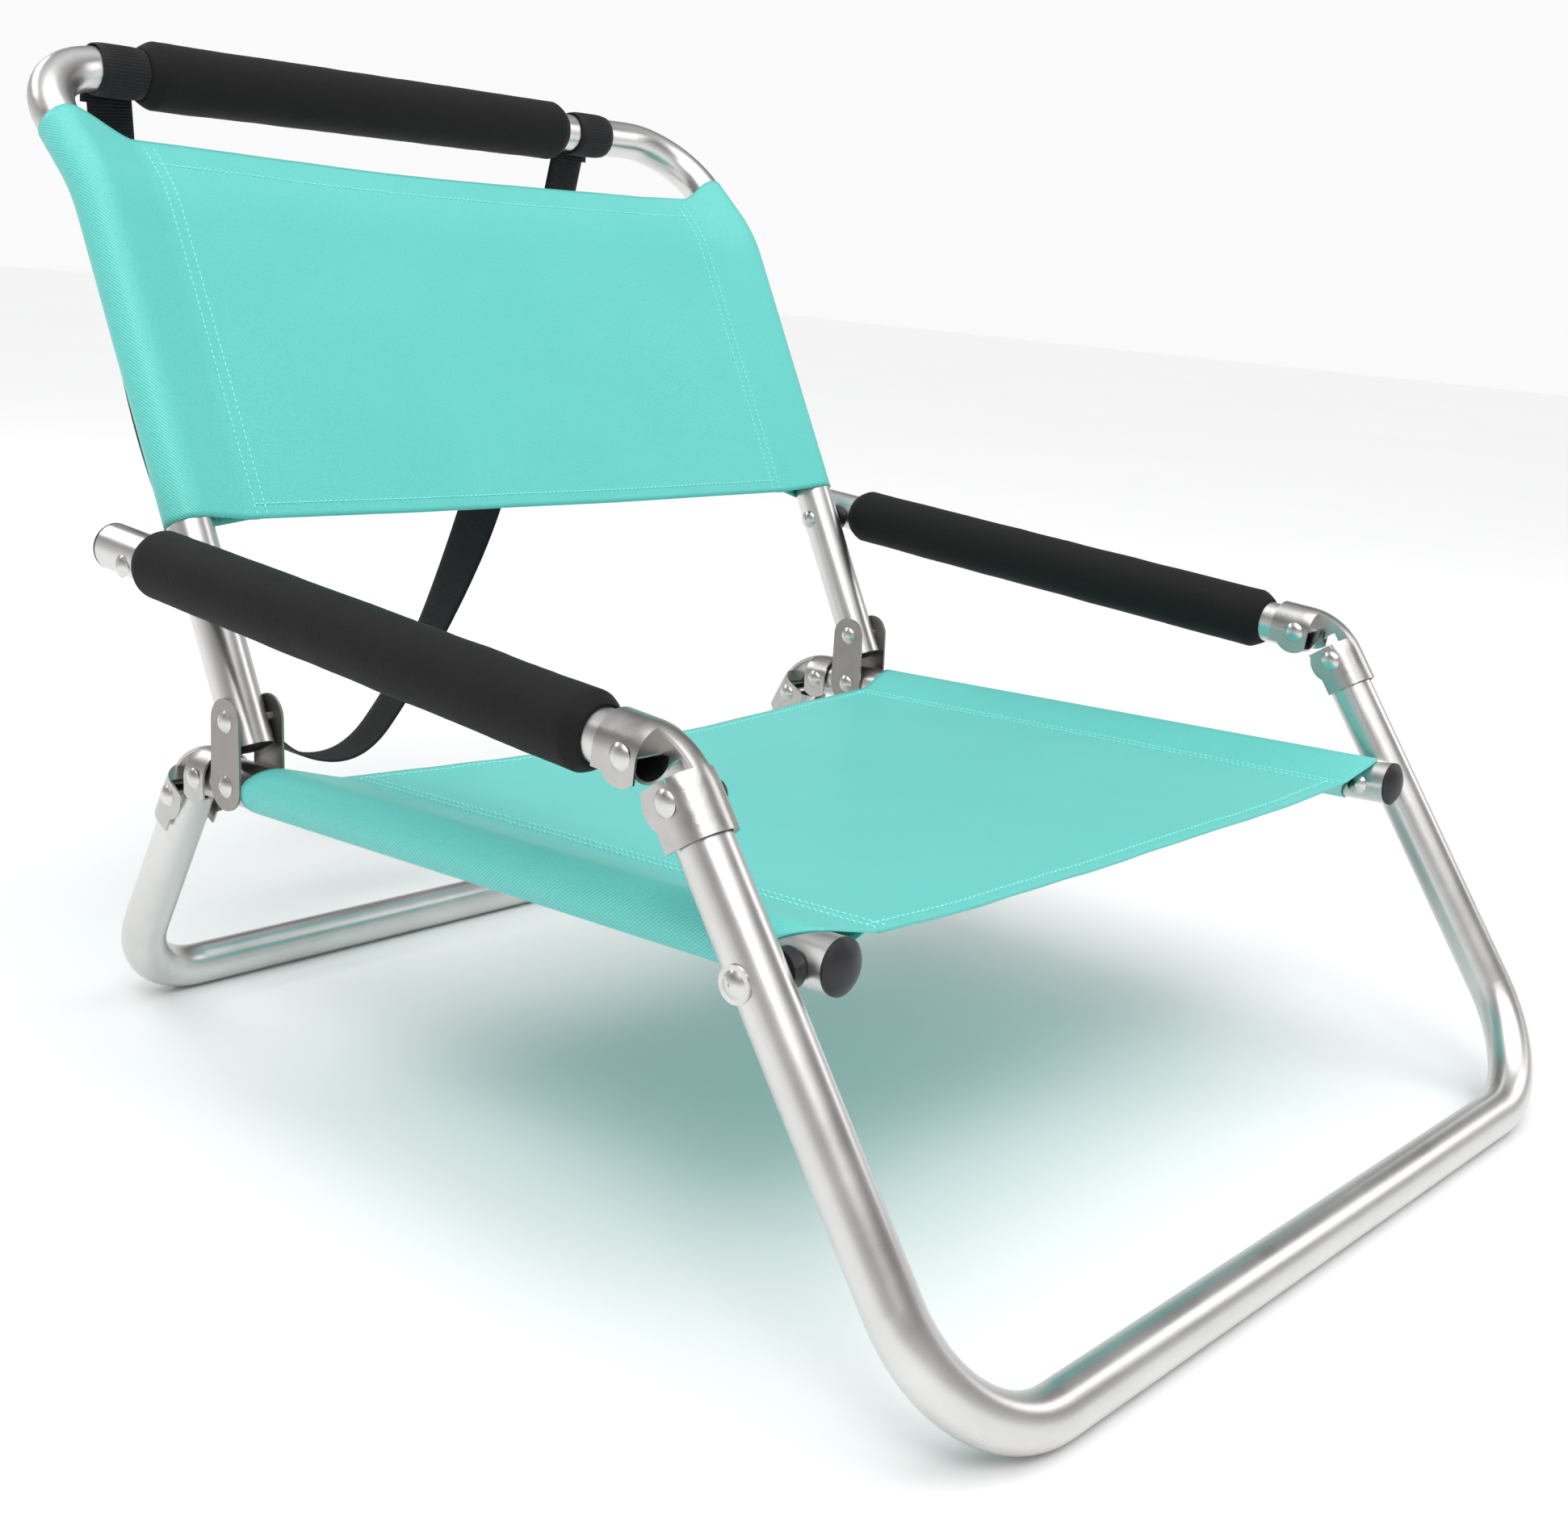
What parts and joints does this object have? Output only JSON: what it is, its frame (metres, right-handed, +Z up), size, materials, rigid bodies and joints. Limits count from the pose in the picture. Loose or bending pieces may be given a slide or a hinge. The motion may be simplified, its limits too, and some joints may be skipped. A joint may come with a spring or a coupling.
{
  "type": "folding camp chair",
  "caption": "Low folding camp chair: tube frame with hinged knuckles, cloth seat and back slings, foam armrests and a carry strap.",
  "frame": {"origin": "on the floor, under the middle of the chair's width and depth", "axes": "+Z up; +Y to the rear of the chair, from the front floor bar to the top rail; +X to the left hand of someone who sits in the chair; the left-named pieces are at -X, on the left of someone who faces the chair"},
  "size_m": [0.6168, 0.7643, 0.5455],
  "materials": {
    "tube": "satin polished",
    "rivet": "polished",
    "stamped_steel": "zinc plated, stamped",
    "black_plastic": "moulded",
    "foam": "matte foam",
    "cloth": "twill weave",
    "webbing": "ribbed webbing"
  },
  "bodies": {
    "root": {"seat_tube_left": "tube", "seat_tube_right": "tube", "seat_end_cap_left": "black_plastic", "seat_end_cap_right": "black_plastic", "bracket_outer_left": "stamped_steel", "bracket_outer_right": "stamped_steel", "bracket_inner_left": "stamped_steel", "bracket_inner_right": "stamped_steel", "back_pivot_rivets": "rivet", "bracket_rivets": "rivet", "front_leg_pivot_rivets": "rivet", "front_leg_washers": "rivet", "leg_spacer_left": "black_plastic", "leg_spacer_right": "black_plastic", "seat_sling": "cloth"},
    "backrest": {"back_frame": "tube", "back_end_plug_left": "black_plastic", "back_end_plug_right": "black_plastic", "back_sling": "cloth", "back_grip": "foam", "strap_loop_left": "webbing", "strap_loop_right": "webbing", "carry_strap": "webbing", "arm_pivot_rivets": "rivet", "arm_spacer_left": "black_plastic", "arm_spacer_right": "black_plastic"},
    "arm_left": {"arm_tube_left": "tube", "arm_grip_left": "foam", "arm_end_plug_left": "black_plastic"},
    "arm_right": {"arm_tube_right": "tube", "arm_grip_right": "foam", "arm_end_plug_right": "black_plastic"},
    "front_hinge_left": {"front_hinge_link_left": "stamped_steel", "front_hinge_rivets_left": "rivet"},
    "front_hinge_right": {"front_hinge_link_right": "stamped_steel", "front_hinge_rivets_right": "rivet"},
    "front_leg": {"front_leg_frame": "tube"},
    "rear_hinge_left": {"rear_hinge_link_left": "stamped_steel", "rear_hinge_rivets_left": "rivet"},
    "rear_hinge_right": {"rear_hinge_link_right": "stamped_steel", "rear_hinge_rivets_right": "rivet"},
    "rear_leg": {"rear_leg_frame": "tube"}
  },
  "joints": [
    {"name": "back_fold", "type": "hinge", "parent": "root", "child": "backrest", "pos_m": [0, 0.14303, 0.1953], "axis": [1, 0, 0], "range_deg": [0, 107.3]},
    {"name": "arm_left_pivot", "type": "hinge", "parent": "backrest", "child": "arm_left", "pos_m": [-0.29, 0.18963, 0.272], "axis": [1, 0, 0], "range_deg": [-109.9, 0]},
    {"name": "front_hinge_left_pivot", "type": "hinge", "parent": "arm_left", "child": "front_hinge_left", "pos_m": [-0.29, -0.18157, 0.2536], "axis": [1, 0, 0], "range_deg": [0, 48]},
    {"name": "arm_right_pivot", "type": "hinge", "parent": "backrest", "child": "arm_right", "pos_m": [0.29, 0.18963, 0.272], "axis": [1, 0, 0], "range_deg": [-109.9, 0]},
    {"name": "front_hinge_right_pivot", "type": "hinge", "parent": "arm_right", "child": "front_hinge_right", "pos_m": [0.29, -0.18157, 0.2536], "axis": [1, 0, 0], "range_deg": [0, 48]},
    {"name": "front_leg_fold", "type": "hinge", "parent": "root", "child": "front_leg", "pos_m": [0, -0.24997, 0.1768], "axis": [1, 0, 0], "range_deg": [0, 115.8]},
    {"name": "rear_hinge_left_pivot", "type": "hinge", "parent": "root", "child": "rear_hinge_left", "pos_m": [-0.2575, 0.16983, 0.1586], "axis": [1, 0, 0], "range_deg": [-60.7, 0]},
    {"name": "rear_hinge_right_pivot", "type": "hinge", "parent": "root", "child": "rear_hinge_right", "pos_m": [0.2575, 0.16983, 0.1586], "axis": [1, 0, 0], "range_deg": [-60.7, 0]},
    {"name": "rear_leg_fold", "type": "hinge", "parent": "rear_hinge_left", "child": "rear_leg", "pos_m": [-0.2575, 0.19473, 0.1431], "axis": [1, 0, 0], "range_deg": [-59.1, 0]}
  ],
  "couplings": [
    {"joint": "arm_left_pivot", "follows": "back_fold", "ratio": -1.0241},
    {"joint": "front_hinge_left_pivot", "follows": "back_fold", "ratio": 0.44722},
    {"joint": "arm_right_pivot", "follows": "back_fold", "ratio": -1.0241},
    {"joint": "front_hinge_right_pivot", "follows": "back_fold", "ratio": 0.44722},
    {"joint": "front_leg_fold", "follows": "back_fold", "ratio": 1.0787},
    {"joint": "rear_hinge_right_pivot", "follows": "rear_hinge_left_pivot", "ratio": 1},
    {"joint": "rear_leg_fold", "follows": "rear_hinge_left_pivot", "ratio": 0.97199}
  ]
}
